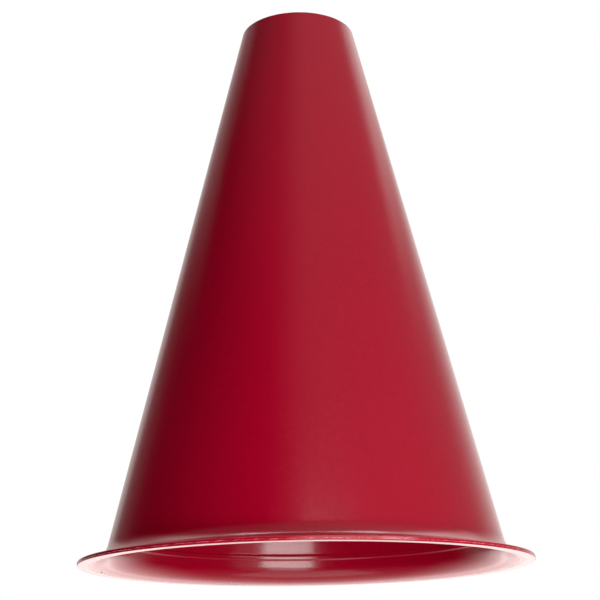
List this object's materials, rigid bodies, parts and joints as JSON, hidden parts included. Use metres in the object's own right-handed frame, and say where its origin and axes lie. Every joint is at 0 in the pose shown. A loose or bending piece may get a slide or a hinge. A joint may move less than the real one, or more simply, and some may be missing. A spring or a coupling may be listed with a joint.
{
  "type": "cheer megaphone",
  "caption": "Plain cone-shaped cheer megaphone, moulded in one piece, open at both ends, with a flared flat lip at the wide end.",
  "frame": {"origin": "centre of the flat underside of the lip at the wide end", "axes": "+Z along the cone's axis from the lip to the narrow mouth end; the object is round about Z"},
  "size_m": [0.1524, 0.1524, 0.1962],
  "materials": {
    "red_plastic": "semi-gloss moulded plastic, dark cherry red"
  },
  "bodies": {
    "root": {"megaphone_shell": "red_plastic"}
  },
  "joints": []
}
